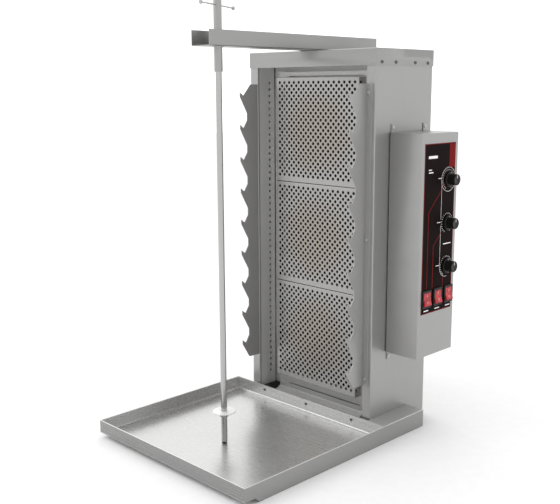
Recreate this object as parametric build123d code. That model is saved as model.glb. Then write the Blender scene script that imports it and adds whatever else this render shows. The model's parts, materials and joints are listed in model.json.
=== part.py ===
"""Vertical rotisserie broiler for a food truck: a counter-top electric grill with three
heating zones, an upright spit over a drip tray and a control box on the right-hand side.

Millimetres, +Z up. X runs to the operator's right, Y away from the operator. The origin lies
on the counter, on the middle plane of the machine, under the rear wall of the drip tray.
"""
from build123d import *
import math
import os

# ---------------------------------------------------------------- driving dimensions
SHEET = 1.5                      # stainless sheet of the casing
PLATE = 2.0                      # heavier sheet: arm and hook rails

TRAY_HALF_WIDTH = 250.0
TRAY_DEPTH = 440.0               # front lip to rear wall
TRAY_RIM = 41.0                  # height of the rim above the counter
TRAY_UNDERSIDE = 8.0
TRAY_BEND = 5.0                  # inner bend radius of the pan
SKIRT_BEVEL_START = 29.0         # from the front lip to the bevel of the side plates
SKIRT_BEVEL_END = 40.0
SKIRT_FRONT_LOW = 10.5           # lower edge of the side plates at the front
WING_END = 146.0                 # rear end of the right-hand side plate
HEM_WIDTH = 8.0

CABINET_HALF_WIDTH = 199.0
CABINET_FRONT = 6.0
CABINET_BACK = 216.0
CABINET_TOP = 890.0
CAP_LOW = 853.0                  # lower edge of the lid's skirt
CAP_HALF_WIDTH = 200.5
CAP_FRONT = 4.0
CAP_BACK = 218.0
POST_INNER = 173.0               # inner edge of the front posts
POST_RETURN = 5.5                # depth of the posts' inner lips
REAR_RETURN = 14.0

WALL_INNER = 175.0               # polished walls of the heater recess
WALL_LOW, WALL_HIGH = 30.0, 870.0
WALL_BACK = 65.0
HOLE_PITCH = 16.0
VENT_RADIUS = 3.4
WALL_HOLE_DEPTH = 48.0           # position of the vent column along Y
WALL_HOLE_FIRST = 65.0
WALL_HOLE_COUNT = 48

COVER_HALF_WIDTH = 132.0
COVER_FRONT = 30.0
COVER_DEPTH = 21.5
COVER_LOW, COVER_HIGH = 69.8, 829.7
COVER_GAP = 0.8                  # joint between two covers
COVER_SHEET = 1.0
COVER_HOLE_RADIUS = 3.7
COVER_COLUMNS = 16
COVER_ROWS = 15
COVER_FIRST_ROW = 12.0           # first hole row below the top of a cover

FRAME_HALF_WIDTH = 143.0
FRAME_FRONT = 52.0
FRAME_LOW, FRAME_HIGH = 34.0, 843.0
SLOT_LEFT, SLOT_RIGHT = -111.0, 131.0
REFLECTOR_FRONT = 68.0
BOARD_FRONT, BOARD_BACK = 71.0, 95.0

ELEMENT_RADIUS = 4.0
ELEMENT_Y = 61.0
ELEMENT_HALF_RUN = 100.0
ELEMENT_PITCH = 48.0
ELEMENT_BEND = 20.0
ELEMENT_LEAD_END = 112.0

RAIL_INNER = 174.0               # inner face of the hook plates
RAIL_ROOT = 4.0
RAIL_TOP, RAIL_LOW = 813.5, 120.0
HOOK_FIRST_TIP = 795.0
HOOK_PITCH = 78.3
HOOK_COUNT = 9
RAIL_FLANGE_OUTER = 192.0
RAIL_SCREW_X = 181.0
RAIL_SCREW_Z = (794.5, 467.5, 137.0)

ARM_HALF_WIDTH = 29.0
ARM_FRONT = -320.0
ARM_HEIGHT = 33.0
ARM_BEND = 2.0

SPIT_Y = -272.0
SPIT_RADIUS = 6.7
SPIT_LOW, SPIT_HIGH = 14.0, 884.7
TIP_RADIUS = 4.5
TIP_LOW = 4.0
TIP_COLLAR_RADIUS = 5.6
DISC_RADIUS = 26.0
DISC_LOW, DISC_THICK = 84.0, 2.5
COLLAR_RADIUS = 10.0
COLLAR_LOW = 74.0
SOCKET_RADIUS = 12.0
SOCKET_LOW = 1.0
SOCKET_HOLE_RADIUS = 6.2
SLEEVE_RADIUS = 9.0
SLEEVE_LOW, SLEEVE_BORE_TOP, SLEEVE_HIGH = 838.5, 885.0, 1000.0
RUNNING_FIT = 0.05
BUSH_RADIUS = 12.5
CROSS_PIN_Z = 974.0
CROSS_PIN_ANGLE = 113.0          # seen from above, from +X towards +Y
CROSS_PIN_HALF_LENGTH = 76.0
CROSS_PIN_RADIUS = 1.75
BALL_RADIUS = 4.5

BOX_INNER, BOX_OUTER = 201.0, 289.0
BOX_FRONT, BOX_BACK = 58.5, 197.0
BOX_LOW, BOX_HIGH = 195.0, 706.0
EAR_Y = (69.0, 189.0)
EAR_REACH = 18.0
EAR_HALF_WIDTH = 6.5
LABEL_THICK = 0.4
LABEL_FRONT, LABEL_BACK = 69.0, 186.5
LABEL_LOW, LABEL_HIGH = 297.5, 683.0

ZONES = ("upper", "middle", "lower")
DIAL_Y = 162.0
DIAL_Z = {"upper": 600.0, "middle": 500.0, "lower": 400.0}
SHAFT_RADIUS = 3.0
SHAFT_END = 310.0
KNOB_SKIRT_RADIUS = 17.0
KNOB_SKIRT_THICK = 5.5
KNOB_GRIP_RADIUS = 12.6
KNOB_BACK, KNOB_FRONT = 290.2, 313.5
KNOB_FLUTES = 18
REGULATOR_HALF = 17.0
REGULATOR_DEPTH = 30.0

SWITCHES = {"left": 88.5, "middle": 131.0, "right": 173.5}
SWITCH_Z = 332.0
BEZEL_HALF_Y, BEZEL_HALF_Z = 16.5, 20.5
BEZEL_PROUD = 3.0
WINDOW_HALF_Y, WINDOW_HALF_Z = 12.6, 15.3
ROCKER_HALF_Y = 12.2
ROCKER_REACH = 15.0              # radius of the rocker's ends about its pivot
ROCKER_TILT = 9.0                # half the switching angle
PIVOT_X = 291.0
PIVOT_RADIUS = 1.5

GLAND_X = 224.0                  # middle of the mains box
GLAND_Z = 21.0
GLAND_BORE = 5.0
GROMMET_Y = 128.0                # where the heater wires pass the cabinet's side
GROMMET_Z = 450.0
GROMMET_RADIUS = 14.0
WIRE_RADIUS = 1.6

M4_HEAD_RADIUS, M4_HEAD = 3.6, 1.9
M4_RADIUS = 1.9


# ---------------------------------------------------------------- small helpers
def block(x0, x1, y0, y1, z0, z1):
    """Axis-aligned block from its two corners."""
    centre = Vector(x0 + x1, y0 + y1, z0 + z1) * 0.5
    return Pos(centre) * Box(abs(x1 - x0), abs(y1 - y0), abs(z1 - z0))


def rod(start, end, radius):
    """Round bar between two points."""
    start, end = Vector(*start), Vector(*end)
    axis = end - start
    plane = Plane(origin=start, z_dir=axis)
    return extrude(plane * Circle(radius), amount=axis.length)


def tube(start, end, outer, inner):
    """Round tube between two points."""
    start, end = Vector(*start), Vector(*end)
    axis = end - start
    plane = Plane(origin=start, z_dir=axis)
    return extrude(plane * (Circle(outer) - Circle(inner)), amount=axis.length)


def folded(points, thickness, bend, plane, length):
    """Folded sheet: its centre line on a plane, thickened and extruded."""
    line = FilletPolyline(*points, radius=bend)
    face = trace(line, line_width=thickness)
    up = face.faces()[0].normal_at().Z
    return plane.location * extrude(face, amount=math.copysign(length, up))


def pan_head_screw(seat, outward, length, radius=M4_RADIUS, head_radius=M4_HEAD_RADIUS):
    """Pan-head screw: seat is the point under the head, outward points to its head."""
    outward = Vector(*outward)
    plane = Plane(origin=Vector(*seat), z_dir=outward)
    head = extrude(plane * Circle(head_radius), amount=M4_HEAD)
    top = head.edges().sort_by(Axis(plane.origin, plane.z_dir))[-1]
    head = fillet(top, 0.9)
    shank = extrude(plane * Circle(radius), amount=-length)
    recess_plane = plane.offset(M4_HEAD)
    cross = Rectangle(3.2, 0.8) + Rectangle(0.8, 3.2)
    return head + shank - extrude(recess_plane * cross, amount=-0.9)


def group(solids):
    """Several separate solids as one node."""
    return Compound(children=[solid for part in solids for solid in part.solids()])


def screw_hole(seat, outward, depth, radius=M4_RADIUS):
    """Hole for a screw shank, to be cut from the sheets it passes."""
    seat, outward = Vector(*seat), Vector(*outward)
    return rod(seat + outward * 0.5, seat - outward * depth, radius)


def drilled(solid, holes):
    """Solid with a list of hole cutters taken away."""
    for hole in holes:
        solid = solid - hole
    return solid


# ---------------------------------------------------------------- screw positions
def tray_screw_seats():
    """Three screws through the rear wall of the tray."""
    return [(x, -SHEET, 29.0) for x in (-148.0, 0.0, 148.0)]


def rail_screw_seats():
    """Three screws in each hook rail's flange."""
    return [(side * RAIL_SCREW_X, RAIL_ROOT, z) for side in (-1, 1) for z in RAIL_SCREW_Z]


def cap_screw_seats():
    """Four screws in each side of the lid."""
    return [(side * CAP_HALF_WIDTH, y, 860.0) for side in (-1, 1) for y in (25.0, 74.6, 146.0, 194.5)]


def ear_screw_seats():
    """One screw in each ear of the control box."""
    return [(BOX_INNER, y, z) for y in EAR_Y for z in (BOX_LOW - 10.5, BOX_HIGH + 10.5)]


def arm_screw_seats():
    """Four screws that hold the arm on the lid."""
    return [(x, y, CABINET_TOP + PLATE) for x in (-15.0, 15.0) for y in (40.0, 180.0)]


def back_screw_seats():
    """Four screws down each edge of the rear sheet."""
    return [(side * 192.0, CABINET_BACK, z) for side in (-1, 1) for z in (60.0, 300.0, 560.0, 820.0)]


# ---------------------------------------------------------------- base and drip tray
def tray_pan():
    """Pan with rounded bends, its floor pierced for the spit's tip."""
    inner = TRAY_HALF_WIDTH - 2 * SHEET
    outside = block(SHEET - TRAY_HALF_WIDTH, TRAY_HALF_WIDTH - SHEET,
                    -TRAY_DEPTH, 0, TRAY_UNDERSIDE, TRAY_RIM)
    lower = outside.faces().sort_by(Axis.Z)[0].edges()
    outside = fillet(lower, TRAY_BEND + SHEET)
    inside = block(-inner, inner, SHEET - TRAY_DEPTH, -SHEET, TRAY_UNDERSIDE + SHEET, TRAY_RIM + 20)
    inside = fillet(inside.faces().sort_by(Axis.Z)[0].edges(), TRAY_BEND)
    pan = outside - inside
    for y0, y1 in ((SHEET - TRAY_DEPTH, 2 * SHEET - TRAY_DEPTH), (-2 * SHEET, -SHEET)):
        pan += block(-inner, inner, y0, y1, TRAY_RIM - HEM_WIDTH, TRAY_RIM)
    pan -= rod((0, SPIT_Y, 0), (0, SPIT_Y, TRAY_RIM), SOCKET_HOLE_RADIUS)
    return drilled(pan, [screw_hole(seat, (0, -1, 0), 6) for seat in tray_screw_seats()])


def tray_side(side):
    """Full-height side plate with a hemmed rim; the right one runs on beside the cabinet."""
    end = WING_END if side > 0 else 0.0
    outline = Polyline((-TRAY_DEPTH, TRAY_RIM), (-TRAY_DEPTH, SKIRT_FRONT_LOW),
                       (SKIRT_BEVEL_START - TRAY_DEPTH, SKIRT_FRONT_LOW),
                       (SKIRT_BEVEL_END - TRAY_DEPTH, 0), (end, 0), (end, TRAY_RIM), close=True)
    plane = Plane(origin=(side * TRAY_HALF_WIDTH, 0, 0), x_dir=(0, 1, 0), z_dir=(1, 0, 0))
    return extrude(plane * make_face(outline), amount=-side * SHEET)


def spit_beam():
    """Hat-shaped beam under the pan that carries the spit's socket between the side plates."""
    half = 22.0
    flange = 12.0
    low = 1.0 + SHEET / 2
    high = TRAY_UNDERSIDE - SHEET / 2
    points = [(SPIT_Y - half - flange, high), (SPIT_Y - half, high), (SPIT_Y - half + 5, low),
              (SPIT_Y + half - 5, low), (SPIT_Y + half, high), (SPIT_Y + half + flange, high)]
    plane = Plane(origin=(2 * SHEET - TRAY_HALF_WIDTH, 0, 0), x_dir=(0, 1, 0), z_dir=(1, 0, 0))
    beam = folded(points, SHEET, 1.5, plane, 2 * TRAY_HALF_WIDTH - 4 * SHEET)
    return beam - rod((0, SPIT_Y, -1), (0, SPIT_Y, TRAY_UNDERSIDE + 1), SOCKET_RADIUS)


def spit_socket():
    """Cup in the beam that the spit's tip turns in."""
    cup = rod((0, SPIT_Y, SOCKET_LOW), (0, SPIT_Y, TRAY_UNDERSIDE), SOCKET_RADIUS)
    bore = rod((0, SPIT_Y, TIP_LOW - 0.3), (0, SPIT_Y, TRAY_UNDERSIDE + 1), TIP_RADIUS + RUNNING_FIT)
    return cup - bore


def base_plate():
    """Floor of the cabinet; its front tongue reaches under the tray."""
    plate = block(SHEET - CABINET_HALF_WIDTH, CABINET_HALF_WIDTH - SHEET,
                  CABINET_FRONT + SHEET + 5, CABINET_BACK - 2 * SHEET, 0, SHEET)
    tongue = block(-165, 165, -25, CABINET_FRONT + SHEET + 5, 0, SHEET)
    return plate + tongue


def tray_bracket():
    """Angle behind the tray that its three screws hold on to."""
    plane = Plane(origin=(-165, 0, 0), x_dir=(0, 1, 0), z_dir=(1, 0, 0))
    half = SHEET / 2
    points = [(half, 38), (half, SHEET + half), (30, SHEET + half)]
    bracket = folded(points, SHEET, 2.5, plane, 330)
    return drilled(bracket, [screw_hole(seat, (0, -1, 0), 6) for seat in tray_screw_seats()])


# ---------------------------------------------------------------- cabinet
def side_panel(side):
    """Side of the cabinet, folded round to a front post with a lip and a rear return."""
    half = SHEET / 2
    outer = CABINET_HALF_WIDTH - half
    points = [(POST_INNER + half, CABINET_FRONT + POST_RETURN),
              (POST_INNER + half, CABINET_FRONT + half), (outer, CABINET_FRONT + half),
              (outer, CABINET_BACK - half), (outer - REAR_RETURN, CABINET_BACK - half)]
    points = [(side * x, y) for x, y in points]
    panel = folded(points, SHEET, 1.5, Plane.XY, CABINET_TOP - SHEET)
    cutters = [screw_hole(seat, (0, -1, 0), 8) for seat in rail_screw_seats()]
    cutters += [screw_hole((x, y, z), (side, 0, 0), 8) for x, y, z in cap_screw_seats() if x * side > 0]
    cutters += [screw_hole(seat, (0, 1, 0), 8) for seat in back_screw_seats()]
    if side > 0:
        cutters += [screw_hole(seat, (1, 0, 0), 8) for seat in ear_screw_seats()]
        cutters.append(rod((190, GROMMET_Y, GROMMET_Z), (205, GROMMET_Y, GROMMET_Z), GROMMET_RADIUS))
    return drilled(panel, cutters)


def back_panel():
    """Rear sheet with two fields of ventilation slots."""
    half_width = CABINET_HALF_WIDTH - 2 * SHEET
    sheet = block(-half_width, half_width, CABINET_BACK - 2 * SHEET, CABINET_BACK - SHEET,
                  SHEET, CABINET_TOP - SHEET)
    plane = Plane(origin=(0, CABINET_BACK + 1, 0), x_dir=(-1, 0, 0), z_dir=(0, 1, 0))
    slots = [Pos(column, low + 14 * row) * SlotOverall(86, 5)
             for low in (110.0, 670.0) for row in range(8) for column in (-110.0, 0.0, 110.0)]
    sheet -= extrude(plane * Sketch(children=slots), amount=-8)
    return drilled(sheet, [screw_hole(seat, (0, 1, 0), 8) for seat in back_screw_seats()])


def top_cap():
    """Lid: a folded box that drops over the cabinet."""
    outside = block(-CAP_HALF_WIDTH, CAP_HALF_WIDTH, CAP_FRONT, CAP_BACK, CAP_LOW, CABINET_TOP)
    top = outside.faces().sort_by(Axis.Z)[-1].edges()
    corners = outside.edges().filter_by(Axis.Z)
    outside = fillet(top + corners, 1.8)
    inner = CAP_HALF_WIDTH - SHEET
    inside = block(-inner, inner, CAP_FRONT + SHEET, CAP_BACK - SHEET, CAP_LOW - 1, CABINET_TOP - SHEET)
    cutters = [screw_hole((x, y, z), (math.copysign(1, x), 0, 0), 8) for x, y, z in cap_screw_seats()]
    cutters += [screw_hole(seat, (0, 0, 1), 8) for seat in arm_screw_seats()]
    return drilled(outside - inside, cutters)


def recess_wall(side):
    """Polished side of the heater recess, with its column of vent holes."""
    plane = Plane(origin=(side * WALL_INNER, 0, 0), x_dir=(0, 1, 0), z_dir=(1, 0, 0))
    width = WALL_BACK - CABINET_FRONT - SHEET - 1
    centre_y = WALL_BACK - width / 2
    face = Pos(centre_y, (WALL_LOW + WALL_HIGH) / 2) * Rectangle(width, WALL_HIGH - WALL_LOW)
    holes = [Pos(WALL_HOLE_DEPTH, WALL_HOLE_FIRST + HOLE_PITCH * row) * Circle(VENT_RADIUS)
             for row in range(WALL_HOLE_COUNT)]
    face = face - Sketch(children=holes)
    return extrude(plane * face, amount=side * SHEET)


def reflector():
    """Bright sheet behind the heating elements."""
    sheet = block(-WALL_INNER, WALL_INNER, REFLECTOR_FRONT, REFLECTOR_FRONT + SHEET, WALL_LOW, 880)
    return drilled(sheet, [lead_hole(point, 8.2) for point in lead_points()])


def insulation_board():
    """Ceramic-fibre board behind the reflector."""
    board = block(-170, 170, BOARD_FRONT, BOARD_BACK, 40, 860)
    return drilled(board, [lead_hole(point, 8.2) for point in lead_points()])


def heater_frame():
    """Frame that the covers hang on, with a window behind each of them."""
    frame = block(-FRAME_HALF_WIDTH, FRAME_HALF_WIDTH, FRAME_FRONT, FRAME_FRONT + SHEET,
                  FRAME_LOW, FRAME_HIGH)
    for zone in ZONES:
        low, high = cover_span(zone)
        frame -= block(-122, 122, FRAME_FRONT - 5, FRAME_FRONT + 5, low + 9, high - 9)
    for z in (COVER_LOW - 25, COVER_HIGH + 2.5):
        frame -= block(SLOT_LEFT, SLOT_RIGHT, FRAME_FRONT - 5, FRAME_FRONT + 5, z - 1.2, z + 1.2)
    rim = block(-FRAME_HALF_WIDTH, FRAME_HALF_WIDTH, FRAME_FRONT - 5, FRAME_FRONT,
                FRAME_HIGH - SHEET, FRAME_HIGH)
    return frame + rim


def lower_apron():
    """Sheet that closes the recess below the covers and slopes out behind the tray."""
    half = SHEET / 2
    points = [(FRAME_FRONT - half, 44), (FRAME_FRONT - half, 30), (8.5, 9), (8.5, 5)]
    plane = Plane(origin=(-FRAME_HALF_WIDTH, 0, 0), x_dir=(0, 1, 0), z_dir=(1, 0, 0))
    return folded(points, SHEET, 2.0, plane, 2 * FRAME_HALF_WIDTH)


# ---------------------------------------------------------------- heating
def cover_span(zone):
    """Lower and upper edge of the cover of a zone."""
    height = (COVER_HIGH - COVER_LOW) / len(ZONES)
    top = COVER_HIGH - height * ZONES.index(zone)
    return top - height + COVER_GAP, top


def heater_cover(zone):
    """Perforated box over one zone: staggered round holes in the front, flanged sides."""
    low, high = cover_span(zone)
    back = COVER_FRONT + COVER_DEPTH
    box = block(-COVER_HALF_WIDTH, COVER_HALF_WIDTH, COVER_FRONT, back, low, high)
    front_edges = box.faces().sort_by(Axis.Y)[0].edges()
    box = fillet(front_edges, 1.4)
    inner = COVER_HALF_WIDTH - COVER_SHEET
    box -= block(-inner, inner, COVER_FRONT + COVER_SHEET, back + 1, low + COVER_SHEET, high - COVER_SHEET)
    first_x = -HOLE_PITCH * (COVER_COLUMNS - 1) / 2
    centres = []
    for row in range(COVER_ROWS):
        z = high - COVER_FIRST_ROW - HOLE_PITCH * row
        centres += [(first_x + HOLE_PITCH * column, z) for column in range(COVER_COLUMNS)]
        if row < COVER_ROWS - 1:
            half_pitch = HOLE_PITCH / 2
            centres += [(first_x + half_pitch + HOLE_PITCH * column, z - half_pitch)
                        for column in range(COVER_COLUMNS - 1)]
    plane = Plane(origin=(0, COVER_FRONT - 1, 0), x_dir=(1, 0, 0), z_dir=(0, -1, 0))
    drills = extrude(plane * Sketch(children=[Pos(x, z) * Circle(COVER_HOLE_RADIUS) for x, z in centres]),
                     amount=-(COVER_SHEET + 2))
    side_plane = Plane(origin=(-COVER_HALF_WIDTH - 1, 0, 0), x_dir=(0, 1, 0), z_dir=(1, 0, 0))
    rows = [high - COVER_FIRST_ROW - HOLE_PITCH * row for row in range(COVER_ROWS)]
    side_drills = extrude(side_plane * Sketch(children=[Pos(COVER_FRONT + 6, z) * Circle(VENT_RADIUS)
                                                        for z in rows]),
                          amount=2 * COVER_HALF_WIDTH + 2)
    return box - drills - side_drills


def element_rows(zone):
    """Heights of the four straight runs of a heating element."""
    low, high = cover_span(zone)
    middle = (low + high) / 2
    return [middle + ELEMENT_PITCH * step for step in (-1.5, -0.5, 0.5, 1.5)]


def lead_points():
    """Where the leads of the elements pass the reflector, as X and Z."""
    points = []
    for zone in ZONES:
        rows = element_rows(zone)
        points += [(ELEMENT_HALF_RUN, rows[0]), (ELEMENT_HALF_RUN, rows[-1])]
    return points


def lead_hole(point, radius):
    """Cutter for a lead's passage through reflector and board."""
    x, z = point
    return rod((x, REFLECTOR_FRONT - 2, z), (x, BOARD_BACK + 2, z), radius)


def heating_element(zone):
    """Sheathed tube bent into four runs, both ends turned back to the terminals."""
    rows = element_rows(zone)
    reach = ELEMENT_HALF_RUN
    turn = reach + 4
    points = [(reach, ELEMENT_LEAD_END, rows[0]), (reach, ELEMENT_Y, rows[0]),
              (-turn, ELEMENT_Y, rows[0]), (-turn, ELEMENT_Y, rows[1]),
              (turn - 14, ELEMENT_Y, rows[1]), (turn - 14, ELEMENT_Y, rows[2]),
              (-turn, ELEMENT_Y, rows[2]), (-turn, ELEMENT_Y, rows[3]),
              (reach, ELEMENT_Y, rows[3]), (reach, ELEMENT_LEAD_END, rows[3])]
    small = 7.0
    bends = [small] + [ELEMENT_BEND] * 6 + [small]
    path = FilletPolyline(*points, radius=bends)
    section = Plane(origin=points[0], z_dir=(0, -1, 0)) * Circle(ELEMENT_RADIUS)
    return sweep(section, path=path)


def element_insulators():
    """Ceramic bushes round the leads."""
    return group(tube((x, REFLECTOR_FRONT + 0.2, z), (x, BOARD_BACK + 6, z), 8.0, ELEMENT_RADIUS + 0.1)
                 for x, z in lead_points())


# ---------------------------------------------------------------- hook rails
def hook_rail(side):
    """Rack of nine upward hooks on a flange that is screwed to the front post."""
    notch_y, tip_y, valley_y = -42.0, -53.0, -30.0
    outline = [(RAIL_ROOT + PLATE, RAIL_TOP), (-18.0, RAIL_TOP)]
    for hook in range(HOOK_COUNT):
        tip = HOOK_FIRST_TIP - HOOK_PITCH * hook
        outline += [(notch_y, tip - 8.5), (tip_y, tip), (tip_y, tip - 11)]
        if hook < HOOK_COUNT - 1:
            outline += [(valley_y, tip - 51), (valley_y, tip - 68)]
    outline += [(valley_y, RAIL_LOW + 1), (valley_y + 4, RAIL_LOW), (RAIL_ROOT + PLATE, RAIL_LOW)]
    plane = Plane(origin=(side * RAIL_INNER, 0, 0), x_dir=(0, 1, 0), z_dir=(1, 0, 0))
    plate = extrude(plane * make_face(Polyline(*outline, close=True)), amount=side * PLATE)
    flange = block(side * RAIL_INNER, side * RAIL_FLANGE_OUTER, RAIL_ROOT, RAIL_ROOT + PLATE,
                   RAIL_LOW, RAIL_TOP)
    seats = [seat for seat in rail_screw_seats() if seat[0] * side > 0]
    return drilled(plate + flange, [screw_hole(seat, (0, -1, 0), 8) for seat in seats])


# ---------------------------------------------------------------- arm
def arm_channel():
    """Channel from the back of the cabinet out over the spit, open on top."""
    half = PLATE / 2
    outer = ARM_HALF_WIDTH - half
    top = CABINET_TOP + ARM_HEIGHT
    points = [(-outer, top), (-outer, CABINET_TOP + half), (outer, CABINET_TOP + half), (outer, top)]
    plane = Plane(origin=(0, CAP_BACK, 0), x_dir=(1, 0, 0), z_dir=(0, -1, 0))
    channel = folded(points, PLATE, ARM_BEND, plane, CAP_BACK - ARM_FRONT)
    channel -= rod((0, SPIT_Y, CABINET_TOP - 1), (0, SPIT_Y, CABINET_TOP + 10), BUSH_RADIUS)
    return drilled(channel, [screw_hole(seat, (0, 0, 1), 8) for seat in arm_screw_seats()])


def arm_bush():
    """Flanged bush in the floor of the arm that the sleeve slides in."""
    barrel = tube((0, SPIT_Y, CABINET_TOP - 1.5), (0, SPIT_Y, CABINET_TOP + 7),
                  BUSH_RADIUS, SLEEVE_RADIUS + RUNNING_FIT)
    flange = tube((0, SPIT_Y, CABINET_TOP + PLATE), (0, SPIT_Y, CABINET_TOP + PLATE + 2),
                  BUSH_RADIUS + 3, BUSH_RADIUS - 1)
    return barrel + flange


# ---------------------------------------------------------------- spit
def spit_rod():
    """Upright bar that carries the meat."""
    bar = rod((0, SPIT_Y, SPIT_LOW), (0, SPIT_Y, SPIT_HIGH), SPIT_RADIUS)
    top = bar.edges().sort_by(Axis.Z)[-1]
    return chamfer(top, 1.5)


def spit_tip():
    """Dark hardened pin with a shoulder, at the foot of the bar."""
    pin = rod((0, SPIT_Y, TIP_LOW), (0, SPIT_Y, 11), TIP_RADIUS)
    pin = chamfer(pin.edges().sort_by(Axis.Z)[0], 1.0)
    return pin + rod((0, SPIT_Y, 11), (0, SPIT_Y, SPIT_LOW), TIP_COLLAR_RADIUS)


def spit_disc():
    """Round plate that the meat stands on."""
    disc = tube((0, SPIT_Y, DISC_LOW), (0, SPIT_Y, DISC_LOW + DISC_THICK), DISC_RADIUS, SPIT_RADIUS)
    rims = disc.edges().filter_by(GeomType.CIRCLE).group_by(SortBy.RADIUS)[-1]
    return fillet(rims, 0.8)


def disc_collar():
    """Clamp ring under the disc, tapped for its set screw."""
    ring = tube((0, SPIT_Y, COLLAR_LOW), (0, SPIT_Y, DISC_LOW), COLLAR_RADIUS, SPIT_RADIUS)
    middle = (COLLAR_LOW + DISC_LOW) / 2
    return ring - rod((0, SPIT_Y, middle), (30, SPIT_Y, middle), 2.0)


def collar_screw():
    """Set screw with a hexagon socket."""
    middle = (COLLAR_LOW + DISC_LOW) / 2
    screw = rod((SPIT_RADIUS, SPIT_Y, middle), (COLLAR_RADIUS + 2.0, SPIT_Y, middle), 2.0)
    end = Plane(origin=(COLLAR_RADIUS + 2.0, SPIT_Y, middle), z_dir=(1, 0, 0))
    return screw - extrude(end * RegularPolygon(1.15, 6), amount=-1.5)


def top_sleeve():
    """Bar with a blind bore that drops over the top of the spit."""
    bar = rod((0, SPIT_Y, SLEEVE_LOW), (0, SPIT_Y, SLEEVE_HIGH), SLEEVE_RADIUS)
    bar = chamfer(bar.edges().sort_by(Axis.Z)[-1], 1.2)
    bore = rod((0, SPIT_Y, SLEEVE_LOW - 1), (0, SPIT_Y, SLEEVE_BORE_TOP), SPIT_RADIUS + RUNNING_FIT)
    return bar - bore - cross_pin_axis(CROSS_PIN_RADIUS, -20, 20)


def cross_pin_axis(radius, start, end):
    """Round bar along the cross pin's line, between two distances from the spit's axis."""
    angle = math.radians(CROSS_PIN_ANGLE)
    ends = [(distance * math.cos(angle), SPIT_Y + distance * math.sin(angle), CROSS_PIN_Z)
            for distance in (start, end)]
    return rod(*ends, radius)


def cross_pin():
    """Thin turning bar through the sleeve."""
    return cross_pin_axis(CROSS_PIN_RADIUS, -CROSS_PIN_HALF_LENGTH, CROSS_PIN_HALF_LENGTH)


def pin_balls():
    """Balls on both ends of the turning bar."""
    angle = math.radians(CROSS_PIN_ANGLE)
    balls = []
    for sign in (-1, 1):
        distance = sign * CROSS_PIN_HALF_LENGTH
        centre = (distance * math.cos(angle), SPIT_Y + distance * math.sin(angle), CROSS_PIN_Z)
        hole = cross_pin_axis(CROSS_PIN_RADIUS, -CROSS_PIN_HALF_LENGTH, CROSS_PIN_HALF_LENGTH)
        balls.append(Pos(centre) * Sphere(BALL_RADIUS) - hole)
    return group(balls)


# ---------------------------------------------------------------- control box
def control_housing():
    """Folded box, open towards the cabinet, with four ears for its screws."""
    box = block(BOX_INNER, BOX_OUTER, BOX_FRONT, BOX_BACK, BOX_LOW, BOX_HIGH)
    outer_face = box.faces().sort_by(Axis.X)[-1]
    box = fillet(outer_face.edges(), 2.0)
    box -= block(BOX_INNER - 1, BOX_OUTER - SHEET, BOX_FRONT + SHEET, BOX_BACK - SHEET,
                 BOX_LOW + SHEET, BOX_HIGH - SHEET)
    for y in EAR_Y:
        for edge, reach in ((BOX_LOW, -EAR_REACH), (BOX_HIGH, EAR_REACH)):
            root = edge - math.copysign(SHEET, reach)
            ear = block(BOX_INNER - SHEET, BOX_INNER, y - EAR_HALF_WIDTH, y + EAR_HALF_WIDTH,
                        min(root, edge + reach), max(root, edge + reach))
            box += ear
            box += block(BOX_INNER - SHEET, BOX_INNER + 1, y - EAR_HALF_WIDTH, y + EAR_HALF_WIDTH,
                         min(root, edge), max(root, edge))
    cutters = [screw_hole(seat, (1, 0, 0), 8) for seat in ear_screw_seats()]
    for z in DIAL_Z.values():
        cutters.append(rod((BOX_OUTER - 5, DIAL_Y, z), (BOX_OUTER + 5, DIAL_Y, z), 4.0))
    for y in SWITCHES.values():
        cutters.append(switch_opening(y))
    return drilled(box, cutters)


def switch_opening(y):
    """Cutter for the body of a rocker switch."""
    return block(BOX_OUTER - 5, BOX_OUTER + 5, y - 14.2, y + 14.2, SWITCH_Z - 17, SWITCH_Z + 17)


def control_label():
    """Printed front plate with cut-outs for shafts and switches."""
    plate = block(BOX_OUTER, BOX_OUTER + LABEL_THICK, LABEL_FRONT, LABEL_BACK, LABEL_LOW, LABEL_HIGH)
    cutters = [rod((BOX_OUTER - 5, DIAL_Y, z), (BOX_OUTER + 5, DIAL_Y, z), 4.0) for z in DIAL_Z.values()]
    cutters += [switch_opening(y) for y in SWITCHES.values()]
    return drilled(plate, cutters)


def knob(zone):
    """Skirted knob with a fluted grip and an index line."""
    z = DIAL_Z[zone]
    skirt = rod((KNOB_BACK, DIAL_Y, z), (KNOB_BACK + KNOB_SKIRT_THICK, DIAL_Y, z), KNOB_SKIRT_RADIUS)
    skirt = chamfer(skirt.edges().sort_by(Axis.X)[-1], 1.6)
    grip = rod((KNOB_BACK, DIAL_Y, z), (KNOB_FRONT, DIAL_Y, z), KNOB_GRIP_RADIUS)
    grip = fillet(grip.edges().sort_by(Axis.X)[-1], 1.4)
    body = skirt + grip
    for flute in range(KNOB_FLUTES):
        angle = 2 * math.pi * (flute + 0.5) / KNOB_FLUTES
        y = DIAL_Y + (KNOB_GRIP_RADIUS + 0.6) * math.cos(angle)
        height = z + (KNOB_GRIP_RADIUS + 0.6) * math.sin(angle)
        start = KNOB_BACK + KNOB_SKIRT_THICK + 0.8
        body -= rod((start, y, height), (KNOB_FRONT + 1, y, height), 1.3)
    line = block(KNOB_FRONT - 0.5, KNOB_FRONT + 1, DIAL_Y - 0.6, DIAL_Y + 0.6, z + 4, z + 12)
    bore = rod((KNOB_BACK - 1, DIAL_Y, z), (SHAFT_END, DIAL_Y, z), SHAFT_RADIUS)
    return body - line - bore


def control_shaft(zone):
    """Shaft between regulator and knob."""
    z = DIAL_Z[zone]
    return rod((BOX_OUTER - SHEET - 10, DIAL_Y, z), (SHAFT_END, DIAL_Y, z), SHAFT_RADIUS)


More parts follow.
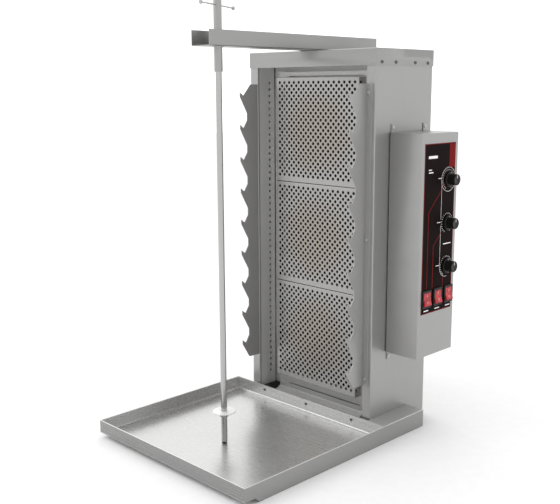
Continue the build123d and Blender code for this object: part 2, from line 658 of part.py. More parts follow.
def regulator(zone):
    """Energy regulator behind the front face, with a bushing round the shaft and four blades."""
    z = DIAL_Z[zone]
    face = BOX_OUTER - SHEET
    body = block(face - REGULATOR_DEPTH, face, DIAL_Y - REGULATOR_HALF, DIAL_Y + REGULATOR_HALF,
                 z - REGULATOR_HALF, z + REGULATOR_HALF)
    body = fillet(body.edges().filter_by(Axis.X), 3)
    bore = rod((face - 10.3, DIAL_Y, z), (face + 1, DIAL_Y, z), SHAFT_RADIUS + RUNNING_FIT)
    body -= bore
    for y in (-9, 9):
        for height in (-8, 8):
            body += block(face - REGULATOR_DEPTH - 8, face - REGULATOR_DEPTH,
                          DIAL_Y + y - 0.4, DIAL_Y + y + 0.4, z + height - 3.1, z + height + 3.1)
    return body


def switch_body(name):
    """Rocker switch: bezel on the label and a body inside the box."""
    y = SWITCHES[name]
    face = BOX_OUTER + LABEL_THICK
    bezel = block(face, face + BEZEL_PROUD, y - BEZEL_HALF_Y, y + BEZEL_HALF_Y,
                  SWITCH_Z - BEZEL_HALF_Z, SWITCH_Z + BEZEL_HALF_Z)
    bezel = fillet(bezel.edges().filter_by(Axis.X), 2.0)
    bezel = fillet(bezel.faces().sort_by(Axis.X)[-1].edges(), 1.0)
    body = block(face - 26, face, y - 14, y + 14, SWITCH_Z - 16.8, SWITCH_Z + 16.8)
    for height in (-10, 0, 10):
        blade = SWITCH_Z + height
        body += block(face - 34, face - 26, y - 3.1, y + 3.1, blade - 0.4, blade + 0.4)
    well = block(face - 18, face + BEZEL_PROUD + 1, y - WINDOW_HALF_Y, y + WINDOW_HALF_Y,
                 SWITCH_Z - WINDOW_HALF_Z, SWITCH_Z + WINDOW_HALF_Z)
    pivot = rod((PIVOT_X, y - WINDOW_HALF_Y - 1, SWITCH_Z), (PIVOT_X, y + WINDOW_HALF_Y + 1, SWITCH_Z),
                PIVOT_RADIUS + RUNNING_FIT)
    return bezel + body - well - pivot


def rocker(name):
    """Rocker with a shallow V face, resting with its lower half pressed out."""
    y = SWITCHES[name]
    tilt = math.radians(ROCKER_TILT)
    rise = ROCKER_REACH * math.tan(tilt)
    root = 1.6
    outline = Polyline((-9, 6), (-9, -6), (-3, -ROCKER_REACH), (root + rise, -ROCKER_REACH), (root, 0),
                       (root + rise, ROCKER_REACH), (-3, ROCKER_REACH), close=True)
    profile = make_face(outline) & Circle(ROCKER_REACH)
    plane = Plane(origin=(PIVOT_X, y - ROCKER_HALF_Y, SWITCH_Z), x_dir=(1, 0, 0), z_dir=(0, -1, 0))
    body = extrude(plane * profile, amount=-2 * ROCKER_HALF_Y)
    trunnion = rod((PIVOT_X, y - WINDOW_HALF_Y - 0.9, SWITCH_Z), (PIVOT_X, y + WINDOW_HALF_Y + 0.9, SWITCH_Z),
                   PIVOT_RADIUS)
    turned = Axis((PIVOT_X, y, SWITCH_Z), (0, 1, 0))
    return (body + trunnion).rotate(turned, -ROCKER_TILT)


# ---------------------------------------------------------------- mains connection
def mains_box():
    """Cover over the supply terminals, between the cabinet and the right-hand side plate."""
    inner = TRAY_HALF_WIDTH - SHEET
    top = block(CABINET_HALF_WIDTH, inner, 0, WING_END, TRAY_RIM - SHEET, TRAY_RIM)
    rear = block(CABINET_HALF_WIDTH, inner, WING_END - SHEET, WING_END, 0, TRAY_RIM - SHEET)
    floor = block(CABINET_HALF_WIDTH, inner, 0, WING_END - SHEET, 0, SHEET)
    gland = rod((GLAND_X, WING_END - 5, GLAND_Z), (GLAND_X, WING_END + 5, GLAND_Z), 8.0)
    return top + rear + floor - gland


def terminal_block():
    """Five-pole supply terminal, its clamps open on top."""
    body = block(GLAND_X - 16, GLAND_X + 16, 70, 120, SHEET, 24)
    for pole in range(5):
        y = 75 + 10 * pole
        body -= rod((GLAND_X, y, 14), (GLAND_X, y, 25), 2.6)
        body -= rod((GLAND_X - 24, y, 8), (GLAND_X + 26, y, 8), 2.2)
    return body


def cable_gland():
    """Gland for the supply lead, in the rear wall of the mains box."""
    nose = rod((GLAND_X, WING_END, GLAND_Z), (GLAND_X, WING_END + 16, GLAND_Z), 10.5)
    nose = chamfer(nose.edges().sort_by(Axis.Y)[-1], 3.0)
    hexagon = Plane(origin=(GLAND_X, WING_END, GLAND_Z), z_dir=(0, 1, 0)) * RegularPolygon(13.0, 6)
    nut = extrude(hexagon, amount=7)
    thread = rod((GLAND_X, WING_END - 9, GLAND_Z), (GLAND_X, WING_END, GLAND_Z), 8.0)
    inner_plane = Plane(origin=(GLAND_X, WING_END - SHEET, GLAND_Z), z_dir=(0, -1, 0))
    lock_nut = extrude(inner_plane * RegularPolygon(12.0, 6), amount=5)
    bore = rod((GLAND_X, WING_END - 12, GLAND_Z), (GLAND_X, WING_END + 20, GLAND_Z), GLAND_BORE)
    return nose + nut + thread + lock_nut - bore


def wire_grommet():
    """Rubber grommet where the heater wires enter the control box."""
    inner = CABINET_HALF_WIDTH - 3.5
    outer = CABINET_HALF_WIDTH + 2
    ring = tube((inner, GROMMET_Y, GROMMET_Z), (outer, GROMMET_Y, GROMMET_Z), GROMMET_RADIUS, 9.0)
    for start in (inner, CABINET_HALF_WIDTH):
        ring += tube((start, GROMMET_Y, GROMMET_Z), (start + 2, GROMMET_Y, GROMMET_Z), 17.0, 9.0)
    return ring


def heater_wires():
    """Insulated leads from the regulators through the grommet into the cabinet."""
    wires = []
    for zone, lane in zip(ZONES, (-1, 0, 1)):
        start_z = DIAL_Z[zone] - 8
        start = (BOX_OUTER - SHEET - REGULATOR_DEPTH - 9, DIAL_Y - 9, start_z)
        bundle_y = GROMMET_Y + 5.5 * lane
        turn_z = GROMMET_Z + math.copysign(12, start_z - GROMMET_Z)
        points = [start, (start[0] - 12, start[1], start_z), (228 + 4 * lane, bundle_y, start_z - 14),
                  (222 + 4 * lane, bundle_y, turn_z), (206, bundle_y, GROMMET_Z),
                  (188, bundle_y, GROMMET_Z)]
        path = FilletPolyline(*points, radius=4.0)
        direction = Vector(*points[1]) - Vector(*points[0])
        wires.append(sweep(Plane(origin=start, z_dir=direction) * Circle(WIRE_RADIUS), path=path))
    return group(wires)


# ---------------------------------------------------------------- fasteners
def rail_screws():
    """Screws that hold the hook rails on the front posts."""
    return group(pan_head_screw(seat, (0, -1, 0), 5) for seat in rail_screw_seats())


def casing_screws():
    """All other pan-head screws: tray, lid, rear sheet, control box and arm."""
    screws = [pan_head_screw(seat, (0, -1, 0), 5) for seat in tray_screw_seats()]
    screws += [pan_head_screw(seat, (math.copysign(1, seat[0]), 0, 0), 5) for seat in cap_screw_seats()]
    screws += [pan_head_screw(seat, (0, 1, 0), 5) for seat in back_screw_seats()]
    screws += [pan_head_screw(seat, (1, 0, 0), 5) for seat in ear_screw_seats()]
    screws += [pan_head_screw(seat, (0, 0, 1), 5.5) for seat in arm_screw_seats()]
    return group(screws)


# ---------------------------------------------------------------- the whole machine
def build_nodes():
    """Every node by name."""
    nodes = {
        "tray_pan": tray_pan(),
        "tray_side_left": tray_side(-1),
        "tray_side_right": tray_side(1),
        "spit_beam": spit_beam(),
        "spit_socket": spit_socket(),
        "tray_bracket": tray_bracket(),
        "base_plate": base_plate(),
        "side_panel_left": side_panel(-1),
        "side_panel_right": side_panel(1),
        "back_panel": back_panel(),
        "top_cap": top_cap(),
        "recess_wall_left": recess_wall(-1),
        "recess_wall_right": recess_wall(1),
        "reflector": reflector(),
        "insulation_board": insulation_board(),
        "heater_frame": heater_frame(),
        "lower_apron": lower_apron(),
        "element_insulators": element_insulators(),
        "hook_rail_left": hook_rail(-1),
        "hook_rail_right": hook_rail(1),
        "rail_screws": rail_screws(),
        "casing_screws": casing_screws(),
        "arm_channel": arm_channel(),
        "arm_bush": arm_bush(),
        "spit_rod": spit_rod(),
        "spit_tip": spit_tip(),
        "spit_disc": spit_disc(),
        "disc_collar": disc_collar(),
        "collar_screw": collar_screw(),
        "top_sleeve": top_sleeve(),
        "cross_pin": cross_pin(),
        "pin_balls": pin_balls(),
        "control_housing": control_housing(),
        "control_label": control_label(),
        "mains_box": mains_box(),
        "terminal_block": terminal_block(),
        "cable_gland": cable_gland(),
        "wire_grommet": wire_grommet(),
        "heater_wires": heater_wires(),
    }
    for zone in ZONES:
        nodes[f"heater_cover_{zone}"] = heater_cover(zone)
        nodes[f"heating_element_{zone}"] = heating_element(zone)
        nodes[f"knob_{zone}"] = knob(zone)
        nodes[f"control_shaft_{zone}"] = control_shaft(zone)
        nodes[f"regulator_{zone}"] = regulator(zone)
    for name in SWITCHES:
        nodes[f"switch_body_{name}"] = switch_body(name)
        nodes[f"rocker_{name}"] = rocker(name)
    return nodes


os.makedirs("parts", exist_ok=True)
for node_name, shape in build_nodes().items():
    export_step(shape, f"parts/{node_name}.step")
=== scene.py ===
import json
import logging
import math
from dataclasses import dataclass, field, replace
from enum import Enum
from typing import Iterable

import bmesh
import bpy
from mathutils import Matrix, Vector


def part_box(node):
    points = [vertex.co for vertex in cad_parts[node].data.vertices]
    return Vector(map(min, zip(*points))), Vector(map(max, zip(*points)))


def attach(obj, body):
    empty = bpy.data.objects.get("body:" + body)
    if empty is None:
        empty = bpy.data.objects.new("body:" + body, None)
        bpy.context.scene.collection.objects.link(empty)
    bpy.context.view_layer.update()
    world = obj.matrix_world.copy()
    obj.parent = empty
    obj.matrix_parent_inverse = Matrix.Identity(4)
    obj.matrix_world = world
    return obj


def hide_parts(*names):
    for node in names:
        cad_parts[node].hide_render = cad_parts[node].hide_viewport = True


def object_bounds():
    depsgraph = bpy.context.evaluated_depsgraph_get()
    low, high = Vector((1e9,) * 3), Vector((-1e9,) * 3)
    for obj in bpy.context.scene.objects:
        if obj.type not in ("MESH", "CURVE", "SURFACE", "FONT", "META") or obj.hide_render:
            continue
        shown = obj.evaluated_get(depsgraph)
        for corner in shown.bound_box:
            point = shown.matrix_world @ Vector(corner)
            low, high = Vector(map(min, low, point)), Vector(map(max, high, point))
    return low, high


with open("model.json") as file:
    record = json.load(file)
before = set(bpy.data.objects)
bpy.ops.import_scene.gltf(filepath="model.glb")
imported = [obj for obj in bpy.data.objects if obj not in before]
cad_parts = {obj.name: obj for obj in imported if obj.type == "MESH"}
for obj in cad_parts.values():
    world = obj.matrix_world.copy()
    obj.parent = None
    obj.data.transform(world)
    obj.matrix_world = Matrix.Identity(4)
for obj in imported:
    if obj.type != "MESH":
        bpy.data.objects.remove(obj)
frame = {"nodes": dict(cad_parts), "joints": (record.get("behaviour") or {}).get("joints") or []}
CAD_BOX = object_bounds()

logging.basicConfig(level=logging.INFO, format="%(message)s")
LOG = logging.getLogger("broiler")

MM = 0.001
WELD = 0.002 * MM
FLAT_ANGLE = math.radians(1.0)
BEVEL_ANGLE = math.radians(50)
ZONES = ("upper", "middle", "lower")
SWITCHES = ("left", "middle", "right")
Colour = tuple[float, float, float]


class Grain(Enum):
    """Direction in which a metal sheet was brushed."""

    ALONG_X = (0.015, 1.0, 1.0)
    ALONG_Y = (1.0, 0.015, 1.0)
    ALONG_Z = (1.0, 1.0, 0.015)
    NONE = (1.0, 1.0, 1.0)


# ---------------------------------------------------------------- shader graphs
class Wire:
    """An output socket that can be used in Python arithmetic."""

    def __init__(self, graph: "Graph", socket: bpy.types.NodeSocket) -> None:
        """Keeps the graph and the socket."""
        self.graph = graph
        self.socket = socket

    def __add__(self, other: "Wire | float") -> "Wire":
        """Sum."""
        return self.graph.maths("ADD", self, other)

    __radd__ = __add__

    def __mul__(self, other: "Wire | float") -> "Wire":
        """Product."""
        return self.graph.maths("MULTIPLY", self, other)

    __rmul__ = __mul__

    def __sub__(self, other: "Wire | float") -> "Wire":
        """Difference."""
        return self.graph.maths("SUBTRACT", self, other)

    def __rsub__(self, other: float) -> "Wire":
        """Reflected difference."""
        return self.graph.maths("SUBTRACT", other, self)

    def clamped(self) -> "Wire":
        """The value held between 0 and 1."""
        return self.graph.maths("MINIMUM", self.graph.maths("MAXIMUM", self, 0.0), 1.0)


class Graph:
    """The nodes and links of one tree."""

    def __init__(self, tree: bpy.types.NodeTree) -> None:
        """Keeps the tree."""
        self.tree = tree

    def node(self, kind: str, settings: dict | None = None, inputs: dict | None = None,
             out: str | int = 0) -> Wire:
        """Adds any node.

        Args:
            kind: the node's type.
            settings: properties set first; "stops" fills a colour ramp.
            inputs: values or wires by socket name or number.
            out: the output that is returned.

        Returns:
            The chosen output.
        """
        made = self.tree.nodes.new(kind)
        for key, value in (settings or {}).items():
            if key == "stops":
                self._fill_ramp(made.color_ramp, value)
            else:
                setattr(made, key, value)
        for key, value in (inputs or {}).items():
            self.feed(made.inputs[key], value)
        return Wire(self, made.outputs[out])

    def feed(self, socket: bpy.types.NodeSocket, value: Wire | float | tuple) -> None:
        """Links or sets one input socket.

        Args:
            socket: the input.
            value: a wire to link, or the value to set.
        """
        if isinstance(value, Wire):
            self.tree.links.new(value.socket, socket)
        else:
            socket.default_value = value

    def maths(self, operation: str, first: Wire | float, second: Wire | float) -> Wire:
        """Adds a Math node."""
        return self.node("ShaderNodeMath", {"operation": operation}, {0: first, 1: second})

    def place(self, scale: tuple[float, float, float] = (1, 1, 1)) -> Wire:
        """Object coordinates, stretched along each axis."""
        coordinates = self.node("ShaderNodeTexCoord", out="Object")
        return self.node("ShaderNodeMapping", inputs={"Vector": coordinates, "Scale": scale})

    def position(self) -> tuple[Wire, Wire, Wire]:
        """The three object coordinates, each as a value."""
        coordinates = self.node("ShaderNodeTexCoord", out="Object")
        return tuple(self.node("ShaderNodeSeparateXYZ", inputs={0: coordinates}, out=axis) for axis in "XYZ")

    def within(self, spot: tuple[Wire, Wire, Wire], low: Iterable[float], high: Iterable[float]) -> Wire:
        """Tells what lies inside an upright box.

        Args:
            spot: the three object coordinates.
            low: the box's lowest corner.
            high: the box's highest corner.

        Returns:
            1 inside the box and 0 outside it.
        """
        inside: Wire | float = 1.0
        for value, floor, ceiling in zip(spot, low, high):
            inside = self.maths("GREATER_THAN", value, floor) * inside
            inside = self.maths("LESS_THAN", value, ceiling) * inside
        return inside

    def noise(self, vector: Wire, scale: float, detail: float = 2.0, roughness: float = 0.5) -> Wire:
        """Noise value on given coordinates."""
        return self.node("ShaderNodeTexNoise", inputs={"Vector": vector, "Scale": scale,
                                                       "Detail": detail, "Roughness": roughness})

    def ramp(self, value: Wire, stops: list[tuple[float, Colour]]) -> Wire:
        """Colour ramp over a value."""
        return self.node("ShaderNodeValToRGB", {"stops": stops}, {"Fac": value})

    def mix(self, factor: Wire | float, first: Wire | tuple, second: Wire | tuple) -> Wire:
        """Mix of two colours."""
        return self.node("ShaderNodeMix", {"data_type": "RGBA"}, {0: factor, 6: first, 7: second}, out=2)

    def band(self, value: Wire, low: float, high: float) -> Wire:
        """Smooth rise from 0 at low to 1 at high."""
        return self.node("ShaderNodeMapRange", {"interpolation_type": "SMOOTHSTEP"},
                         {"Value": value, "From Min": low, "From Max": high})

    def bump(self, height: Wire, strength: float, distance: float) -> Wire:
        """Bump node."""
        return self.node("ShaderNodeBump", inputs={"Height": height, "Strength": strength,
                                                   "Distance": distance})

    @staticmethod
    def _fill_ramp(ramp: bpy.types.ColorRamp, stops: list[tuple[float, Colour]]) -> None:
        """Puts the stops in a ramp.

        Args:
            ramp: the ramp to fill.
            stops: each stop's position and colour.
        """
        while len(ramp.elements) < len(stops):
            ramp.elements.new(1.0)
        for element, (position, colour) in zip(ramp.elements, stops):
            element.position = position
            element.color = (*colour, 1.0)


class FinishGraph(Graph):
    """A new material's nodes round one principled shader."""

    def __init__(self, name: str) -> None:
        """Makes the material with its shader and output.

        Args:
            name: the material's name.
        """
        self.material = bpy.data.materials.new(name)
        self.material.use_nodes = True
        super().__init__(self.material.node_tree)
        self.shader = self.tree.nodes["Principled BSDF"]

    def set(self, **sockets: Wire | float | tuple) -> None:
        """Feeds the shader's sockets, named with underscores for spaces."""
        for key, value in sockets.items():
            self.feed(self.shader.inputs[key.replace("_", " ")], value)


def shade(colour: Colour, factor: float) -> tuple[float, float, float, float]:
    """A colour made lighter or darker, with alpha."""
    return (*(min(1.0, part * factor) for part in colour), 1.0)


# ---------------------------------------------------------------- finishes
@dataclass(frozen=True)
class SteelSheet:
    """Stainless sheet or bar with its grain, smudges and fine scratches."""

    name: str
    tone: Colour = (0.38, 0.378, 0.375)
    roughness: float = 0.38
    grain: Grain = Grain.ALONG_Z
    grain_scale: float = 700.0
    grain_depth: float = 0.06
    contrast: float = 0.045
    smudge: float = 0.05
    smudge_scale: float = 7.0
    streak_share: float = 0.12
    scratch_share: float = 0.35
    scratches: float = 0.03
    metallic: float = 0.75

    def make(self) -> bpy.types.Material:
        """Builds the material.

        Returns:
            The material.
        """
        graph = FinishGraph(self.name)
        self.fill(graph)
        return graph.material

    def fill(self, graph: FinishGraph) -> tuple[Wire, Wire]:
        """Feeds the shader.

        Args:
            graph: the graph to fill.

        Returns:
            The base colour and the smudge value, for finishes that build on them.
        """
        stretched = graph.place(self.grain.value)
        fine = graph.noise(stretched, self.grain_scale, 4.0, 0.65)
        streaks = graph.noise(stretched, self.grain_scale * self.streak_share, 3.0, 0.6)
        smudges = graph.noise(graph.place(), self.smudge_scale, 3.0, 0.55)
        lines = graph.noise(stretched, self.grain_scale * self.scratch_share, 1.0)
        scratch = graph.band(lines, 0.68, 0.76)
        tone = (fine - 0.5) * self.contrast + (streaks - 0.5) * self.contrast + 0.5
        base = graph.mix(graph.band(tone, 0.4, 0.6), shade(self.tone, 1 - self.contrast),
                         shade(self.tone, 1 + self.contrast))
        base = graph.mix(scratch * self.scratches, base, shade(self.tone, 1.5))
        rough = (fine - 0.5) * 0.16 + (smudges - 0.5) * (2 * self.smudge) + self.roughness
        rough = rough + scratch * 0.05
        height = fine * 0.7 + streaks * 0.3
        graph.set(Base_Color=base, Metallic=self.metallic, Roughness=rough.clamped(),
                  Normal=graph.bump(height, self.grain_depth, 0.0004))
        return base, smudges


@dataclass(frozen=True)
class HeatTintedSteel(SteelSheet):
    """Perforated sheet, tarnished brown around the middle of each cover, with near-black painted shade inside
    one box.
    """

    tint: Colour = (0.30, 0.235, 0.17)
    centres: tuple[float, ...] = ()
    reach_x: float = 0.115
    reach_z: float = 0.11
    strength: float = 0.42
    painted_shade: Colour = (0.012, 0.01, 0.009)
    painted_shade_low: tuple[float, float, float] = (0.0, 0.0, 0.0)
    painted_shade_high: tuple[float, float, float] = (0.0, 0.0, 0.0)

    def make(self) -> bpy.types.Material:
        """Builds the material.

        Returns:
            The material.
        """
        graph = FinishGraph(self.name)
        base, smudges = self.fill(graph)
        x, y, z = graph.position()
        if self.centres:
            across = x * (1 / self.reach_x)
            heights = [(z - centre) * (1 / self.reach_z) for centre in self.centres]
            distances = [across * across + up * up + (smudges - 0.5) * 0.9 for up in heights]
            tarnish = sum(1 - graph.band(distance, 0.1, 1.15) for distance in distances)
            base = graph.mix(tarnish.clamped() * self.strength, base, shade(self.tint, 1.0))
        # Painted shade: inside the given box the base colour turns near black, so what lies behind the covers'
        # front skin reads as dark shadow.
        painted_shade_mask = graph.within((x, y, z), self.painted_shade_low, self.painted_shade_high)
        graph.set(Base_Color=graph.mix(painted_shade_mask, base, shade(self.painted_shade, 1.0)))
        return graph.material


@dataclass(frozen=True)
class TraySteel(SteelSheet):
    """Tray sheet with faint water marks inside and its front lip painted darker as shade."""

    ring_scale: float = 24.0
    marks: float = 0.14
    lip: float = 0.44
    lip_painted_shade: float = 0.75

    def make(self) -> bpy.types.Material:
        """Builds the material.

        Returns:
            The material.
        """
        graph = FinishGraph(self.name)
        base, smudges = self.fill(graph)
        rings = graph.node("ShaderNodeTexVoronoi", {"feature": "F1"},
                           {"Vector": graph.place(), "Scale": self.ring_scale}, out="Distance")
        marks = graph.band(rings, 0.30, 0.34) - graph.band(rings, 0.36, 0.42)
        marks = marks * graph.band(smudges, 0.5, 0.62)
        stained = graph.mix(marks.clamped() * self.marks, base, shade(self.tone, 0.75))
        # Painted shade: the front lip's face, past the given depth, is mixed towards a much darker tone.
        depth = graph.position()[1]
        lip = graph.band(depth * -1.0, self.lip - 0.0004, self.lip - 0.0001)
        graph.set(Base_Color=graph.mix(lip * self.lip_painted_shade, stained, shade(self.tone, 0.36)))
        return graph.material


@dataclass(frozen=True)
class EarHighlightScrewSteel(SteelSheet):
    """Dull screw steel with a painted highlight within one box."""

    bright: Colour = (0.6, 0.6, 0.59)
    low: Iterable[float] = (0.0, 0.0, 0.0)
    high: Iterable[float] = (0.0, 0.0, 0.0)

    def make(self) -> bpy.types.Material:
        """Builds the material.

        Returns:
            The material.
        """
        graph = FinishGraph(self.name)
        base, _ = self.fill(graph)
        # Painted highlight: screw heads inside the box take the bright colour.
        ear_highlight = graph.within(graph.position(), self.low, self.high)
        graph.set(Base_Color=graph.mix(ear_highlight, base, shade(self.bright, 1.0)))
        return graph.material


@dataclass(frozen=True)
class Moulding:
    """Moulded plastic, rubber or ceramic with a fine texture."""

    name: str
    colour: Colour
    roughness: float = 0.45
    texture_scale: float = 1600.0
    texture_depth: float = 0.15
    coat: float = 0.0
    variation: float = 0.12
    shine: float = 0.5
    coat_roughness: float = 0.08

    def make(self) -> bpy.types.Material:
        """Builds the material.

        Returns:
            The material.
        """
        graph = FinishGraph(self.name)
        fine = graph.noise(graph.place(), self.texture_scale, 3.0, 0.6)
        broad = graph.noise(graph.place(), 40.0, 2.0)
        base = graph.mix(graph.band(broad, 0.3, 0.7), shade(self.colour, 1 - self.variation),
                         shade(self.colour, 1 + self.variation))
        rough = (fine - 0.5) * 0.12 + (broad - 0.5) * 0.1 + self.roughness
        graph.set(Base_Color=base, Roughness=rough.clamped(), Coat_Weight=self.coat,
                  Coat_Roughness=self.coat_roughness, Specular_IOR_Level=self.shine,
                  Normal=graph.bump(fine, self.texture_depth, 0.0002))
        return graph.material


@dataclass(frozen=True)
class RedLens:
    """Translucent red plastic with a faint painted glow."""

    name: str
    colour: Colour = (0.42, 0.02, 0.028)
    painted_glow: float = 0.1
    coat: float = 0.1
    coat_roughness: float = 0.05
    shine: float = 0.35

    def make(self) -> bpy.types.Material:
        """Builds the material.

        Returns:
            The material.
        """
        graph = FinishGraph(self.name)
        broad = graph.noise(graph.place(), 90.0, 2.0)
        base = graph.mix(graph.band(broad, 0.35, 0.65), shade(self.colour, 0.7), shade(self.colour, 1.25))
        # Painted glow: the lens emits its own colour faintly, though no lamp lies behind it.
        graph.set(Base_Color=base, Roughness=broad * 0.1 + 0.22, Coat_Weight=self.coat,
                  Coat_Roughness=self.coat_roughness, Specular_IOR_Level=self.shine,
                  Emission_Color=base, Emission_Strength=self.painted_glow,
                  Normal=graph.bump(broad, 0.08, 0.0005))
        return graph.material


@dataclass(frozen=True)
class OxidisedTube:
    """Element sheath, blued and browned by heat."""

    name: str

    def make(self) -> bpy.types.Material:
        """Builds the material.

        Returns:
            The material.
        """
        graph = FinishGraph(self.name)
        mottling = graph.noise(graph.place(), 55.0, 5.0, 0.6)
        colour = graph.ramp(mottling, [(0.3, (0.035, 0.028, 0.024)), (0.55, (0.09, 0.06, 0.045)),
                                       (0.75, (0.05, 0.055, 0.07))])
        graph.set(Base_Color=colour, Metallic=0.7, Roughness=mottling * 0.3 + 0.4,
                  Normal=graph.bump(mottling, 0.3, 0.0003))
        return graph.material


# ---------------------------------------------------------------- mesh helpers
def block(mesh: bmesh.types.BMesh, place: Matrix, size: tuple[float, float, float]) -> None:
    """Adds a block of a full size along the axes of its place."""
    bmesh.ops.create_cube(mesh, size=1.0, matrix=place @ Matrix.Diagonal((*size, 1.0)))


def side_plane(x: float, y: float, z: float, turn: float = 0.0) -> Matrix:
    """Frame whose own Z points along +X, its own X along +Y and its own Y up."""
    axes = Matrix(((0, 0, 1, x), (1, 0, 0, y), (0, 1, 0, z), (0, 0, 0, 1)))
    return axes @ Matrix.Rotation(turn, 4, "Z")


def raised(mesh: bmesh.types.BMesh, outline: list[bmesh.types.BMVert], height: float) -> bmesh.types.BMFace:
    """Draws a capped outline out along +X into a solid.

    Args:
        mesh: the mesh that holds the outline and its cap.
        outline: the outline's vertices.
        height: how far it is drawn.

    Returns:
        The front face.
    """
    caps = [face for face in outline[0].link_faces if len(face.verts) > 4]
    made = bmesh.ops.extrude_face_region(mesh, geom=caps)["geom"]
    front = [item for item in made if isinstance(item, bmesh.types.BMVert)]
    bmesh.ops.translate(mesh, vec=(height, 0, 0), verts=front)
    return next(item for item in made if isinstance(item, bmesh.types.BMFace))


def middle(node: str) -> tuple[float, float]:
    """Y and Z of the middle of a CAD node's box."""
    low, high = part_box(node)
    return (low.y + high.y) / 2, (low.z + high.z) / 2


@dataclass
class Assembly:
    """A group of pieces, with the list of those built or dressed so far."""

    pieces: list[str] = field(init=False, default_factory=list)

    def finished(self, name: str, mesh: bmesh.types.BMesh, material: bpy.types.Material, body: str,
                 slot: str, smooth: float = 35.0) -> bpy.types.Object:
        """Turns a bmesh into a riding piece.

        Args:
            name: the piece's name.
            mesh: the finished bmesh; it is freed.
            material: the piece's finish.
            body: the CAD body that it rides on.
            slot: the record's material slot; not used.
            smooth: edges flatter than this many degrees are shaded smooth.

        Returns:
            The new object.
        """
        bmesh.ops.recalc_face_normals(mesh, faces=mesh.faces)
        data = bpy.data.meshes.new(name)
        mesh.to_mesh(data)
        mesh.free()
        piece = bpy.data.objects.new(name, data)
        bpy.context.scene.collection.objects.link(piece)
        data.materials.append(material)
        data.shade_smooth()
        data.set_sharp_from_angle(angle=math.radians(smooth))
        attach(piece, body)
        self.pieces.append(name)
        return piece

    def refined(self, node: str, material: bpy.types.Material, body: str, slot: str, edge: float) -> None:
        """Puts a copy of a CAD node with softly rounded edges in its place.

        Args:
            node: the CAD node.
            material: the piece's finish.
            body: the CAD body that it rides on.
            slot: the record's material slot; not used.
            edge: radius of the rounded edges in millimetres.
        """
        mesh = bmesh.new()
        mesh.from_mesh(frame["nodes"][node].data)
        bmesh.ops.remove_doubles(mesh, verts=mesh.verts, dist=WELD)
        bmesh.ops.dissolve_limit(mesh, angle_limit=FLAT_ANGLE, verts=mesh.verts, edges=mesh.edges)
        piece = self.finished(f"{node}_sheet", mesh, material, body, slot)
        bevel = piece.modifiers.new("rounded edges", "BEVEL")
        bevel.width = edge * MM
        bevel.segments = 2
        bevel.limit_method = "ANGLE"
        bevel.angle_limit = BEVEL_ANGLE
        bevel.harden_normals = True
        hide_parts(node)

    def dress(self, node: str, material: bpy.types.Material) -> None:
        """Gives a CAD node its finish.

        Args:
            node: the CAD node.
            material: the finish.
        """
        data = frame["nodes"][node].data
        data.materials.clear()
        data.materials.append(material)
        self.pieces.append(node)


# ---------------------------------------------------------------- casing
@dataclass
class Casing(Assembly):
    """Cabinet, lid, arm, tray and mains box: sheet pieces with rounded edges."""

    edge: float = 0.4
    rim_radius: float = 0.8 * MM
    upright: SteelSheet = SteelSheet("casing brushed upright")
    lid: SteelSheet = SteelSheet("lid brushed lengthwise", tone=(0.34, 0.338, 0.335), roughness=0.34,
                                 grain=Grain.ALONG_X, metallic=0.8)
    arm: SteelSheet = SteelSheet("arm brushed lengthwise", tone=(0.34, 0.338, 0.335), roughness=0.34,
                                 grain=Grain.ALONG_Y, metallic=0.8)
    # Painted light: the tray's tone is set much lighter than the other sheets' so that the floor's bright
    # grazing reflection sits in its colour.
    tray: TraySteel = TraySteel("tray sheet", tone=(0.56, 0.558, 0.555), roughness=0.27, grain=Grain.ALONG_X,
                                contrast=0.02, grain_depth=0.025)
    skirt: SteelSheet = SteelSheet("skirt sheet", tone=(0.33, 0.328, 0.325), roughness=0.38,
                                   grain=Grain.ALONG_Y)
    cover: SteelSheet = SteelSheet("mains box sheet", tone=(0.5, 0.498, 0.494), metallic=0.6,
                                   grain=Grain.ALONG_Y)
    # Painted highlight: the rolled rim's tone is far lighter than the tray's, to give a bright line along the
    # rim.
    rolled: SteelSheet = SteelSheet("rolled edge", tone=(0.74, 0.738, 0.73), roughness=0.3, metallic=0.4,
                                    grain=Grain.NONE)

    def build(self) -> None:
        """Builds and dresses every sheet piece."""
        upright = self.upright.make()
        for node in ("side_panel_left", "side_panel_right", "control_housing", "tray_bracket"):
            self.refined(node, upright, "root", "casing_steel", self.edge)
        for node in ("back_panel", "base_plate", "spit_beam"):
            self.dress(node, upright)
        self.refined("top_cap", self.lid.make(), "root", "casing_steel", self.edge)
        self.refined("arm_channel", self.arm.make(), "root", "casing_steel", self.edge)
        self.refined("tray_pan", self.tray.make(), "root", "tray_steel", self.edge)
        skirt = self.skirt.make()
        for node in ("tray_side_left", "tray_side_right"):
            self.refined(node, skirt, "root", "tray_steel", self.edge)
        self.refined("mains_box", self.cover.make(), "root", "tray_steel", self.edge)
        self.build_rolled_rim()

    def build_rolled_rim(self) -> None:
        """Rolled edge that runs round the tray's rim and along the wing, painted bright as a highlight line."""
        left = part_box("tray_side_left")
        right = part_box("tray_side_right")
        inset = self.rim_radius
        top = left[1].z
        front = left[0].y + inset
        corners = [Vector((left[0].x + inset, left[1].y, top)), Vector((left[0].x + inset, front, top)),
                   Vector((right[1].x - inset, front, top)), Vector((right[1].x - inset, right[1].y, top))]
        mesh = bmesh.new()
        for start, end in zip(corners, corners[1:]):
            run = end - start
            place = Matrix.Translation((start + end) / 2) @ run.to_track_quat("Z", "Y").to_matrix().to_4x4()
            bmesh.ops.create_cone(mesh, cap_ends=True, segments=12, radius1=inset, radius2=inset,
                                  depth=run.length + inset, matrix=place)
        self.finished("tray_rolled_rim", mesh, self.rolled.make(), "root", "tray_steel")


